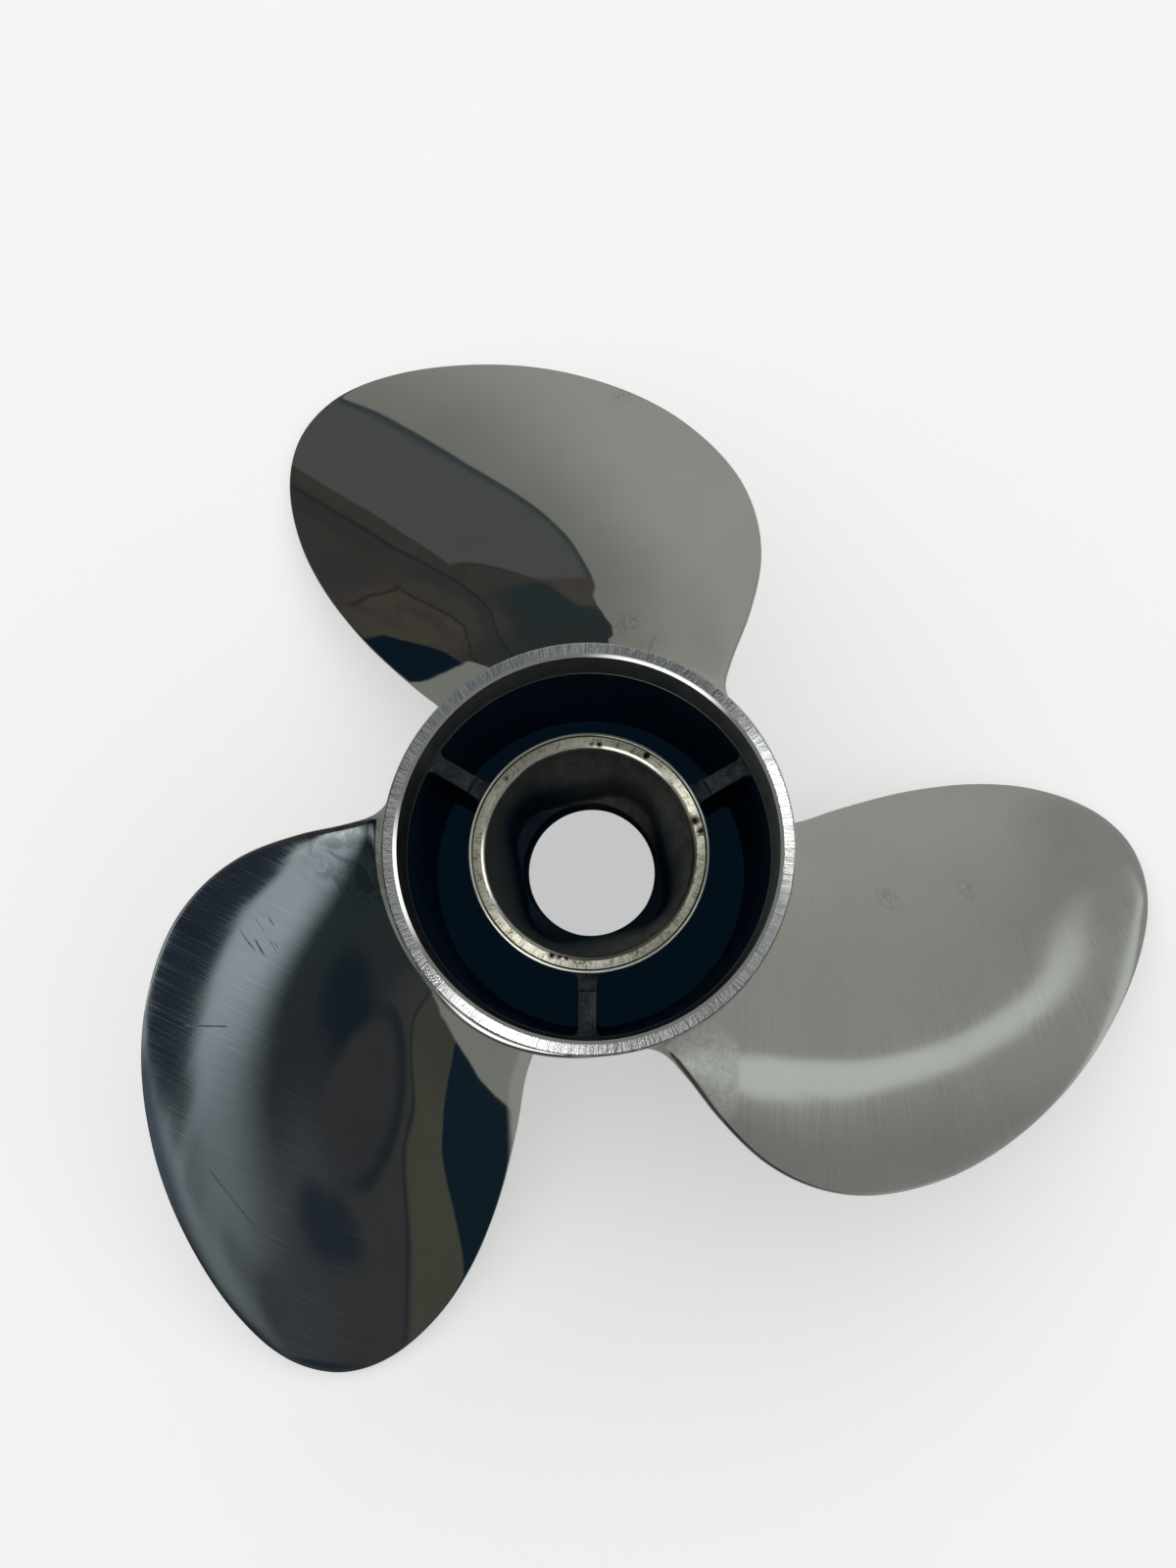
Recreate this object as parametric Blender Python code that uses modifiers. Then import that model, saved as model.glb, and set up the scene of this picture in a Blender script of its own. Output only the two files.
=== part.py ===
"""Three-blade, left-hand propeller of an outboard motor, with its exhaust through the hub.

Metres, +Z up. The front rim, which meets the gearcase, faces up and the flared
aft rim rests on the floor. The origin is the centroid, on the shaft axis.
"""

import math

import bmesh
import bpy
import numpy as np

MM = 0.001
GAP = 0.3

# Heights in millimetres are measured from the front rim, which is this far above the origin.
FRONT = 75.0

# Outer hub barrel, with the flared lip that draws the exhaust out.
BARREL_R = 54.6
BARREL_LENGTH = 139.0
RIM_R = 54.0
RIM_BORE_R = 51.1
COUNTERBORE_DEPTH = 25.7
PASSAGE_R = 50.1
FLARE_START = 116.0
FLARE_R = 59.0
FLARE_BORE_R = 55.0

# Inner hub, which the rubber-cushioned drive sleeve is pushed into.
INNER_R = 33.1
INNER_FRONT = 20.6
INNER_AFT = 121.0
SOCKET_MOUTH_R = 28.4
SOCKET_FLAT = 22.0
SOCKET_CORNER_R = 12.6
SOCKET_TURN = 12.5
FUNNEL_END = 55.0
SOCKET_FLOOR = 99.0
SHAFT_HOLE_R = 20.9

# Ribs between the two hubs.
RIB_ANGLES = (30.0, 150.0, 270.0)
RIB_THICK = 5.0
RIB_ROOT = 8.4
RIB_AFT = 118.0

# Blades: a left-hand helicoid of constant pitch whose rake eases towards the tip.
BLADE_LINES = (-30.0, 90.0, 210.0)
TIP_R = 185.3
RAKE_START_R = 54.0
PITCH = 366.0
MID_DEPTH = 48.0
RAKE = math.radians(25.9)
RAKE_EASE = 0.00056
EDGE_THICK = 1.3
ROOT_EDGE_THICK = 3.0
SIDE_FILLET = 7.0
LEADING_FILLET = 6.5
TRAILING_FILLET = 3.0
CHORD_POINTS = 18

# Each row: radius, angles of the leading and trailing edge from the blade's line, thickness.
BLADE_SHAPE = (
    (RAKE_START_R, -39.5, 43.5, 9.5),
    (66.0, -35.9, 43.1, 8.6),
    (80.0, -33.3, 44.3, 7.6),
    (100.0, -29.1, 45.0, 6.3),
    (120.0, -22.3, 44.5, 5.2),
    (140.0, -11.7, 43.0, 4.2),
    (160.0, 2.4, 40.2, 3.2),
    (175.0, 15.2, 36.7, 2.4),
    (182.0, 22.2, 33.6, 1.9),
    (TIP_R, 28.6, 28.6, 1.4),
)


def clear_scene():
    for obj in list(bpy.data.objects):
        bpy.data.objects.remove(obj)
    for name in ("outboard_propeller", "cutters"):
        group = bpy.data.collections.new(name)
        bpy.context.scene.collection.children.link(group)


def material(name, colour, roughness, metallic=1.0):
    mat = bpy.data.materials.new(name)
    mat.use_nodes = True
    shader = mat.node_tree.nodes["Principled BSDF"]
    shader.inputs["Base Color"].default_value = (*colour, 1.0)
    shader.inputs["Roughness"].default_value = roughness
    shader.inputs["Metallic"].default_value = metallic
    return mat


def placed(obj, mat):
    """Puts a part in the propeller's collection, or a cutter, which has no material, in its own."""
    group = "outboard_propeller" if mat else "cutters"
    bpy.data.collections[group].objects.link(obj)
    if mat:
        obj.data.materials.append(mat)
    else:
        obj.hide_render = True
        obj.display_type = "WIRE"
    return obj


def add_object(name, verts, faces, mat=None):
    mesh = bpy.data.meshes.new(name)
    mesh.from_pydata([tuple(c * MM for c in v) for v in verts], [], faces)
    mesh.update()
    return placed(bpy.data.objects.new(name, mesh), mat)


def outward(obj):
    work = bmesh.new()
    work.from_mesh(obj.data)
    bmesh.ops.recalc_face_normals(work, faces=work.faces)
    work.to_mesh(obj.data)
    work.free()


def turned(name, profile, mat, steps=96):
    """A closed profile of (radius, depth below the front rim), turned about the shaft axis."""
    verts = [(radius, 0.0, FRONT - depth) for radius, depth in profile]
    mesh = bpy.data.meshes.new(name)
    count = len(verts)
    edges = [(i, (i + 1) % count) for i in range(count)]
    mesh.from_pydata([tuple(c * MM for c in v) for v in verts], edges, [])
    obj = placed(bpy.data.objects.new(name, mesh), mat)
    screw = obj.modifiers.new("Turn", "SCREW")
    screw.steps = steps
    screw.render_steps = steps
    screw.merge_threshold = 0.0001
    screw.use_merge_vertices = True
    return obj


def loft(name, rings, mat=None):
    """Rings of equal length, joined in order and closed by a cap at each end."""
    size = len(rings[0])
    verts = [point for ring in rings for point in ring]
    faces = []
    for k in range(len(rings) - 1):
        low, high = k * size, (k + 1) * size
        for i in range(size):
            j = (i + 1) % size
            faces.append((low + i, low + j, high + j, high + i))
    faces.append(tuple(reversed(range(size))))
    faces.append(tuple(range(len(verts) - size, len(verts))))
    obj = add_object(name, verts, faces, mat)
    outward(obj)
    return obj


def arc(centre, radius, start, end, count):
    """Points of an arc in a profile, the angles in degrees."""
    points = []
    for step in range(count + 1):
        turn = math.radians(start + (end - start) * step / count)
        points.append((centre[0] + radius * math.cos(turn), centre[1] - radius * math.sin(turn)))
    return points


def flare(start_r, end_r, depths):
    """A lip that leaves the barrel tangentially and opens as it goes aft."""
    first, last = depths[0], depths[-1]
    return [(start_r + (end_r - start_r) * ((d - first) / (last - first)) ** 2, d) for d in depths]


def make_barrel(mat):
    depths = [FLARE_START + (BARREL_LENGTH - 0.8 - FLARE_START) * i / 8 for i in range(9)]
    outside = [(RIM_BORE_R + 0.7, 0.0)]
    outside += arc((RIM_R - 0.3, 0.3), 0.3, 90.0, 0.0, 2)
    outside += arc((BARREL_R - 2.0, 2.4), 2.0, 60.0, 0.0, 5)[1:]
    outside += [(BARREL_R, depth) for depth in (20.0, 52.0, 84.0)]
    outside += flare(BARREL_R, FLARE_R, depths)
    outside += [(FLARE_R - 0.8, BARREL_LENGTH)]
    inside = [(FLARE_BORE_R + 0.4, BARREL_LENGTH)]
    inside += reversed(flare(PASSAGE_R, FLARE_BORE_R, depths))
    inside += [(PASSAGE_R, COUNTERBORE_DEPTH), (RIM_BORE_R - 0.2, COUNTERBORE_DEPTH)]
    inside += [(RIM_BORE_R, 0.7)]
    return turned("barrel", outside + inside, mat)


def square_radius(turn):
    """Distance from the axis to the rounded square of the socket, at an angle in degrees."""
    from_flat = (turn - SOCKET_TURN + 45.0) % 90.0 - 45.0
    along = math.radians(abs(from_flat))
    centre = SOCKET_FLAT - SOCKET_CORNER_R
    if SOCKET_FLAT * math.tan(along) <= centre:
        return SOCKET_FLAT / math.cos(along)
    reach = centre * (math.cos(along) + math.sin(along))
    return reach + math.sqrt(reach**2 - 2 * centre**2 + SOCKET_CORNER_R**2)


def socket_ring(depth, blend, round_r, steps=96):
    """One section of the socket: blend 0 is round, and blend 1 is the rounded square."""
    ring = []
    for step in range(steps):
        turn = 360.0 * step / steps
        radius = round_r + (square_radius(turn) - round_r) * blend
        angle = math.radians(turn)
        ring.append((radius * math.cos(angle), radius * math.sin(angle), FRONT - depth))
    return ring


def make_socket_cutter():
    mouth = INNER_FRONT + 1.4
    rings = [socket_ring(INNER_FRONT - 0.6, 0.0, SOCKET_MOUTH_R + 2.0)]
    rings += [socket_ring(mouth, 0.0, SOCKET_MOUTH_R)]
    for step in range(1, 7):
        share = step / 6
        depth = mouth + (FUNNEL_END - mouth) * share
        rings.append(socket_ring(depth, share * share * (3 - 2 * share), SOCKET_MOUTH_R))
    rings.append(socket_ring(SOCKET_FLOOR, 1.0, SOCKET_MOUTH_R))
    return loft("socket_cutter", rings)


def make_inner_hub(mat):
    outside = [(SHAFT_HOLE_R, INNER_FRONT), (INNER_R - 1.3, INNER_FRONT)]
    outside += [(INNER_R - 1.1, INNER_FRONT + 0.5), (INNER_R - 0.6, INNER_FRONT + 0.6)]
    outside += [(INNER_R, INNER_FRONT + 1.2), (INNER_R, 60.0), (INNER_R, INNER_AFT - 1.5)]
    outside += [(INNER_R - 1.5, INNER_AFT), (SHAFT_HOLE_R + 1.0, INNER_AFT)]
    outside += [(SHAFT_HOLE_R, INNER_AFT - 1.0)]
    hub = turned("inner_hub", outside, mat)
    cut = hub.modifiers.new("Socket", "BOOLEAN")
    cut.operation = "DIFFERENCE"
    cut.solver = "EXACT"
    cut.object = make_socket_cutter()
    return hub


def rib_side(radius):
    """Half the rib's thickness, which flares into both hubs."""
    inner, outer = INNER_R + GAP, PASSAGE_R - GAP
    near = min(radius - inner, outer - radius)
    flare_r = 3.0
    extra = 0.0
    if near < flare_r:
        extra = flare_r - math.sqrt(flare_r**2 - (flare_r - near) ** 2)
    most = (RIB_ROOT - RIB_THICK) / 2
    return RIB_THICK / 2 + extra * most / flare_r


def rib_section(angle, depth, trim):
    """The rib's outline across the shaft; its ends follow the two hubs. The trim is an edge round."""
    inner, outer = INNER_R + GAP, PASSAGE_R - GAP
    radii = [inner + (outer - inner) * (1 - math.cos(math.pi * i / 12)) / 2 for i in range(13)]
    side = []
    for radius in radii:
        half = rib_side(radius) - trim
        side.append((math.sqrt(radius**2 - half**2), half))
    end = rib_side(outer) - trim
    start = rib_side(inner) - trim
    tip = [(math.sqrt(outer**2 - y**2), y) for y in (end / 3, -end / 3)]
    back = [(x, -y) for x, y in reversed(side)]
    root = [(math.sqrt(inner**2 - y**2), y) for y in (-start / 3, start / 3)]
    turn = math.radians(angle)
    cos, sin = math.cos(turn), math.sin(turn)
    return [(x * cos - y * sin, x * sin + y * cos, FRONT - depth) for x, y in side + tip + back + root]


def make_rib(name, angle, mat):
    levels = ((COUNTERBORE_DEPTH, 0.8), (COUNTERBORE_DEPTH + 0.25, 0.35), (COUNTERBORE_DEPTH + 0.8, 0.0))
    rings = [rib_section(angle, depth, trim) for depth, trim in levels]
    rings += [rib_section(angle, RIB_AFT - 0.8, 0.0), rib_section(angle, RIB_AFT, 0.8)]
    return loft(name, rings, mat)


def shape_at(radius, column):
    """A smooth curve through one column of the blade's shape, rounded off at the tip."""
    rows = BLADE_SHAPE[::-1]
    reach = [math.sqrt(TIP_R - row[0]) for row in rows]
    value = [row[column] for row in rows]
    slope = np.diff(value) / np.diff(reach)
    gaps = np.diff(reach)
    inner = (slope[:-1] * gaps[1:] + slope[1:] * gaps[:-1]) / (gaps[1:] + gaps[:-1])
    bend = np.concatenate([slope[:1], inner, slope[-1:]])
    here = math.sqrt(TIP_R - max(radius, BLADE_SHAPE[0][0]))
    k = min(int(np.searchsorted(reach, here, side="right")) - 1, len(gaps) - 1)
    t = (here - reach[k]) / gaps[k]
    level = value[k] + (value[k + 1] - value[k]) * t * t * (3 - 2 * t)
    return level + gaps[k] * t * (1 - t) * (bend[k] * (1 - t) - bend[k + 1] * t)


def fillet(radius, size):
    """How far a fillet of this radius, at the foot of a blade, stands out from it."""
    rise = max(radius - BARREL_R - GAP, 0.0)
    return size - math.sqrt(size**2 - max(size - rise, 0.0) ** 2)


def blade_point(line, radius, angle, offset):
    """A point of the blade: the offset is how far forward of the helicoid it is, square to it."""
    out = radius - RAKE_START_R
    depth = MID_DEPTH + PITCH * angle / 360.0 + math.tan(RAKE) * out - RAKE_EASE * out**2
    advance = PITCH / (2 * math.pi * radius)
    length = math.hypot(advance, 1.0)
    turn = math.radians(line + angle) + offset * advance / length / radius
    return (radius * math.cos(turn), radius * math.sin(turn), FRONT - depth + offset / length)


def edge_half(radius):
    """Half the thickness of the rounded edge, which is sturdier near the hub."""
    inboard = max(0.0, 1.0 - (radius - BARREL_R) / 40.0)
    return (EDGE_THICK + (ROOT_EDGE_THICK - EDGE_THICK) * inboard**2) / 2


def blade_section(line, radius):
    """A closed section: forward face from the leading to the trailing edge, then back aft."""
    along_chord = math.degrees(math.cos(math.atan2(PITCH, 2 * math.pi * radius)) / radius)
    lead = shape_at(radius, 1) - fillet(radius, LEADING_FILLET) * along_chord
    trail = shape_at(radius, 2) + fillet(radius, TRAILING_FILLET) * along_chord
    thick = shape_at(radius, 3)
    front, back = [], []
    for step in range(CHORD_POINTS):
        share = (1 - math.cos(math.pi * step / (CHORD_POINTS - 1))) / 2
        angle = lead + (trail - lead) * share
        bulge = (4 * share * (1 - share)) ** 0.8
        edge = min(1.0, 0.3 + 6.0 * min(share, 1 - share)) * edge_half(radius)
        spread = fillet(radius, SIDE_FILLET) * (0.1 + 0.9 * bulge)
        body = (thick - 2 * edge_half(radius)) * bulge
        front.append(blade_point(line, radius, angle, edge + body + spread))
        back.append(blade_point(line, radius, angle, -edge - spread))
    return front + back[::-1]


def section_radii():
    """Close together in the fillet at the foot and towards the tip, and wide apart between."""
    foot = BARREL_R + GAP
    radii = [BARREL_R - 8.0] + [foot + SIDE_FILLET * (step / 6) ** 1.7 for step in range(7)]
    reach = math.sqrt(TIP_R - radii[-1])
    radii += [TIP_R - (reach * (1 - step / 18)) ** 2 for step in range(1, 18)]
    return radii + [TIP_R - 0.04]


def make_root_cutter():
    """The barrel's outside and the gap round it, which every blade's foot is trimmed to."""
    radius = (BARREL_R + GAP) / math.cos(math.pi / 128)
    bpy.ops.mesh.primitive_cylinder_add(vertices=128, radius=radius * MM, depth=0.4)
    cutter = bpy.context.active_object
    cutter.name = "root_cutter"
    for group in cutter.users_collection:
        group.objects.unlink(cutter)
    return placed(cutter, None)


def make_blade(name, line, cutter, mat):
    blade = loft(name, [blade_section(line, radius) for radius in section_radii()], mat)
    trim = blade.modifiers.new("Root", "BOOLEAN")
    trim.operation = "DIFFERENCE"
    trim.solver = "EXACT"
    trim.object = cutter
    return blade


def main():
    clear_scene()
    machined = material("machined stainless", (0.62, 0.61, 0.58), 0.30)
    polished = material("polished stainless", (0.50, 0.50, 0.49), 0.18)
    cast = material("cast stainless", (0.22, 0.22, 0.22), 0.50)
    make_barrel(machined)
    make_inner_hub(machined.copy())
    for number, angle in enumerate(RIB_ANGLES, 1):
        make_rib(f"rib_{number}", angle, cast.copy())
    cutter = make_root_cutter()
    for number, angle in enumerate(BLADE_LINES, 1):
        make_blade(f"blade_{number}", angle, cutter, polished.copy())


main()
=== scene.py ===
"""Looks of a three-blade outboard propeller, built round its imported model.

Metres, with the shaft axis on Z and the front rim up. As on a hub drawing, a height is
given as a depth below the front rim, in millimetres.
"""
import math

import bmesh
import bpy
import numpy as np
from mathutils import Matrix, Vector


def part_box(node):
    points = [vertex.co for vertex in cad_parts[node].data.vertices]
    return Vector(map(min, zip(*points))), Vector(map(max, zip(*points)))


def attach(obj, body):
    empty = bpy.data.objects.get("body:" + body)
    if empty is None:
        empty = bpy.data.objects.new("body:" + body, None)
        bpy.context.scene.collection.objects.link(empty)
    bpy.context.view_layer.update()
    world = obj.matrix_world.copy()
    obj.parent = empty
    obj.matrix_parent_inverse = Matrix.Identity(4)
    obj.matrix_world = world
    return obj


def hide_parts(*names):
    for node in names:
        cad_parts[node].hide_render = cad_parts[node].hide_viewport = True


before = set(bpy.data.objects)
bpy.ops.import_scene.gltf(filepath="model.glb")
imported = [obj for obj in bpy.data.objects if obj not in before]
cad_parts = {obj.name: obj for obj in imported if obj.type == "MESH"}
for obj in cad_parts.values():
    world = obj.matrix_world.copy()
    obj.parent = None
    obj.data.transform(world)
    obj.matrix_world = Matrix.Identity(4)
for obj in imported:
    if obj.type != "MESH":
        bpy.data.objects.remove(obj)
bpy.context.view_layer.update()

# Hub barrel: the outer tube of the one-piece stainless casting. Its front end is turned in a
# lathe to a flat rim and a counterbore for the gearcase; the outside is ground and polished,
# and the exhaust has left its bore black.

MM = 0.001
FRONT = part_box("barrel")[1].z / MM
BARREL_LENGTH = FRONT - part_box("barrel")[0].z / MM
LIP_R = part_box("barrel")[1].x / MM
BARREL_R = 54.6
RIM_R = 54.05
RIM_INSIDE_R = 51.35
COUNTERBORE_R = 50.4
CHAMFER_DEPTH = 0.46
COUNTERBORE_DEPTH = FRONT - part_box("rib_1")[1].z / MM
PASSAGE_R = 50.1
FLARE_START = 116.0
LIP_BORE_R = 55.0
SWELL = 1.6
SWELL_ANGLE = 241.0
SWELL_HALF_WIDTH = 36.0
TURN_STEPS = 288
SHARP_ANGLE = math.radians(21.0)
LIP_ROUND = 0.8
FLAT_WITHIN = 0.05
SOOT_GLOSS = 0.12
HATCH_R = 54.0

# The rim's section, from its inner edge outwards. Each row: radius and depth.
RIM_SECTION = (
    (RIM_INSIDE_R, 0.0),
    (RIM_INSIDE_R + 0.3, 0.0),
    (RIM_R - 0.3, 0.0),
    (RIM_R - 0.14, 0.0),
    (RIM_R - 0.03, 0.07),
    (RIM_R, 0.2),
    (RIM_R, 0.6),
    (RIM_R + 0.1, 0.72),
)

# The shoulder behind the rim. Each row: how far it stands out from the rim, its share of the
# swell at the blade root, and its depth.
SHOULDER = (
    (0.22, 0.15, 0.78),
    (0.31, 0.42, 0.98),
    (0.39, 0.67, 1.2),
    (0.45, 0.86, 1.45),
    (0.50, 0.96, 1.75),
)

# Further back the swell dies out. Each row: its share of the swell, and its depth.
SWELL_END = ((1.0, 2.3), (1.0, 4.0), (0.9, 8.0), (0.5, 16.0), (0.15, 26.0))


def arc(centre, radius, start, end, count):
    """Points of an arc in a profile of (radius, depth), the angles in degrees."""
    turns = [math.radians(start + (end - start) * step / count) for step in range(count + 1)]
    return [(centre[0] + radius * math.cos(t), centre[1] - radius * math.sin(t)) for t in turns]


def flare(start_r, end_r, end_depth, count=14):
    """A lip that leaves a tube tangentially and opens as it goes aft."""
    points = []
    for step in range(count + 1):
        share = step / count
        depth = FLARE_START + (end_depth - FLARE_START) * share
        points.append((start_r + (end_r - start_r) * share**2, depth))
    return points


def swollen(radius, share):
    """The barrel's outside where the root of the third blade was ground into it by hand."""
    def reach(turn):
        off = (math.degrees(turn) - SWELL_ANGLE) / SWELL_HALF_WIDTH
        return radius + SWELL * share * math.cos(math.pi / 2 * min(abs(off), 1.0)) ** 1.5
    return reach


def piece_of(name, verts, faces):
    """A new piece from its corners, in metres, and its faces."""
    mesh = bpy.data.meshes.new(name)
    mesh.from_pydata(verts, [], faces)
    obj = bpy.data.objects.new(name, mesh)
    bpy.context.collection.objects.link(obj)
    return obj


def shaded(obj):
    """Turns the faces outwards, shades them smooth and keeps the machined edges sharp."""
    work = bmesh.new()
    work.from_mesh(obj.data)
    bmesh.ops.recalc_face_normals(work, faces=work.faces)
    work.to_mesh(obj.data)
    work.free()
    obj.data.shade_smooth()
    obj.data.set_sharp_from_angle(angle=SHARP_ANGLE)
    return obj


def tube(name, rings):
    """A closed wall round the shaft. A ring has a depth, and a reach: a radius or a rule for an angle."""
    verts, faces = [], []
    for reach, depth in rings:
        for step in range(TURN_STEPS):
            turn = 2 * math.pi * step / TURN_STEPS
            radius = reach(turn) if callable(reach) else reach
            verts.append((radius * math.cos(turn) * MM, radius * math.sin(turn) * MM, (FRONT - depth) * MM))
    for ring in range(len(rings)):
        here = ring * TURN_STEPS
        after = (ring + 1) % len(rings) * TURN_STEPS
        for step in range(TURN_STEPS):
            beside = (step + 1) % TURN_STEPS
            faces.append((here + step, here + beside, after + beside, after + step))
    return shaded(piece_of(name, verts, faces))


def faced(obj, material, depth, inside, outside):
    """Gives the flat that the lathe faced, at this depth and between two radii, its own finish."""
    obj.data.materials.append(material)
    for face in obj.data.polygons:
        radius = math.hypot(face.center.x, face.center.y) / MM
        if abs(FRONT - face.center.z / MM - depth) < FLAT_WITHIN and inside < radius < outside:
            face.material_index = len(obj.data.materials) - 1


class Wire:
    """One socket of a node tree. Sums and products of wires add Math nodes."""

    def __init__(self, tree, socket):
        self.tree = tree
        self.socket = socket

    def node(self, kind, settings, values, out=0):
        """Adds a node: its settings first, then the numbers or wires of its sockets."""
        made = self.tree.nodes.new(kind)
        for name, setting in settings.items():
            setattr(made, name, setting)
        for socket, value in values.items():
            if isinstance(value, Wire):
                self.tree.links.new(value.socket, made.inputs[socket])
            else:
                made.inputs[socket].default_value = value
        return Wire(self.tree, made.outputs[out])

    def maths(self, operation, *values):
        return self.node("ShaderNodeMath", {"operation": operation}, dict(enumerate(values)))

    def __add__(self, other):
        return self.maths("ADD", self, other)

    def __radd__(self, other):
        return self.maths("ADD", other, self)

    def __sub__(self, other):
        return self.maths("SUBTRACT", self, other)

    def __rsub__(self, other):
        return self.maths("SUBTRACT", other, self)

    def __mul__(self, other):
        return self.maths("MULTIPLY", self, other)

    def __rmul__(self, other):
        return self.maths("MULTIPLY", other, self)

    def __truediv__(self, other):
        return self.maths("DIVIDE", self, other)

    def __rtruediv__(self, other):
        return self.maths("DIVIDE", other, self)

    def __pow__(self, other):
        return self.maths("POWER", self, other)

    def __abs__(self):
        return self.maths("ABSOLUTE", self)

    def lowest(self, other):
        return self.maths("MINIMUM", self, other)

    def highest(self, other):
        return self.maths("MAXIMUM", self, other)

    def rise(self, start, end, first=0.0, last=1.0):
        """A soft step: first before start and last after end."""
        smooth = {"interpolation_type": "SMOOTHSTEP", "clamp": True}
        return self.node("ShaderNodeMapRange", smooth, {0: self, 1: start, 2: end, 3: first, 4: last})

    def fall(self, start, end):
        """The step turned over: 1 before start and 0 after end."""
        return self.rise(start, end, 1.0, 0.0)

    def within(self, low, high, soft):
        """A soft band: 1 between low and high, and 0 outside."""
        return self.rise(low - soft, low + soft) * self.fall(high - soft, high + soft)

    def line(self, width):
        """1 on the zero of this measure, fading to 0 at the width from it."""
        return abs(self).fall(0.0, width)

    def noise(self, scale, detail=3.0, roughness=0.55, distortion=0.0):
        values = {"Vector": self, "Scale": scale, "Detail": detail, "Roughness": roughness}
        return self.node("ShaderNodeTexNoise", {}, {**values, "Distortion": distortion})

    def blend(self, under, over):
        """A colour: under where this mask is 0 and over where it is 1."""
        first, last = [c if isinstance(c, Wire) else (*c, 1.0) for c in (under, over)]
        return self.node("ShaderNodeMix", {"data_type": "RGBA"}, {0: self, 6: first, 7: last}, 2)

    def vector(self, operation, *values, out=0):
        """Vector maths on this wire; out 1 is the number that Distance and Length give."""
        sockets = dict(enumerate((self, *values)))
        return self.node("ShaderNodeVectorMath", {"operation": operation}, sockets, out)

    def spot(self, centre, size, soft):
        """A round mark on a place: 1 near its centre, and 0 at its size plus the soft edge."""
        return self.vector("DISTANCE", centre, out=1).fall(size, size + soft)

    def joined(self, y, z):
        return self.node("ShaderNodeCombineXYZ", {}, {0: self, 1: y, 2: z})

    def parts(self):
        return [self.node("ShaderNodeSeparateXYZ", {}, {0: self}, out) for out in range(3)]


def new_steel(name, anisotropic=0.0):
    """A metal shader, and the place on the piece in millimetres."""
    material = bpy.data.materials.new(name)
    material.use_nodes = True
    tree = material.node_tree
    shader = tree.nodes["Principled BSDF"]
    shader.inputs["Metallic"].default_value = 1.0
    shader.inputs["Anisotropic"].default_value = anisotropic
    local = Wire(tree, None).node("ShaderNodeTexCoord", {}, {}, "Object")
    return material, local.vector("MULTIPLY", (1 / MM,) * 3)


def from_axis(place):
    """How far a place is from the axis of the shaft."""
    x, y = place.parts()[:2]
    return (x * x + y * y) ** 0.5


def below_rim(place):
    """How far a place lies below the front rim."""
    return FRONT - place.parts()[2]


def finish(material, colour, roughness, height=None, depth=0.1, soot=None):
    """Wires the colour, the roughness, the relief in millimetres and the soot, which isn't metal."""
    tree = material.node_tree
    shader = tree.nodes["Principled BSDF"]
    tree.links.new(colour.socket, shader.inputs["Base Color"])
    tree.links.new(roughness.socket, shader.inputs["Roughness"])
    if soot is not None:
        shader.inputs["Specular IOR Level"].default_value = SOOT_GLOSS
        tree.links.new((1 - soot).socket, shader.inputs["Metallic"])
    if height is not None:
        values = {"Height": height, "Strength": 1.0, "Distance": depth * MM}
        bump = height.node("ShaderNodeBump", {}, values)
        tree.links.new(bump.socket, shader.inputs["Normal"])
    return material


def hatched(place, fineness):
    """The hatch of a faced ring: short strokes across it, some of them leaning."""
    x, y = place.parts()[:2]
    radius = from_axis(place)
    turn = y.maths("ARCTAN2", y, x) * HATCH_R
    across = (turn * fineness).joined(radius * 0.04, 0.0).noise(1.0, 3.0, 0.7)
    leaning = ((turn + 0.6 * radius) * fineness).joined(radius * 0.04, 7.0).noise(1.0, 3.0, 0.7)
    return 0.6 * across + 0.4 * leaning


def rim_steel():
    """The faced rim, hatched by the stone that took its burrs off."""
    material, place = new_steel("hatched_rim_steel", anisotropic=1.0)
    strokes = hatched(place, 2.2)
    broad = place.noise(0.09, 3.0, 0.6)
    colour = strokes.rise(0.42, 0.56).blend((0.36, 0.375, 0.38), (0.86, 0.875, 0.87))
    colour = (broad.rise(0.5, 0.7) * 0.4).blend(colour, (0.42, 0.43, 0.425))
    return finish(material, colour, 0.22 + 0.04 * broad + 0.05 * strokes, strokes, 0.003)


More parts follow.
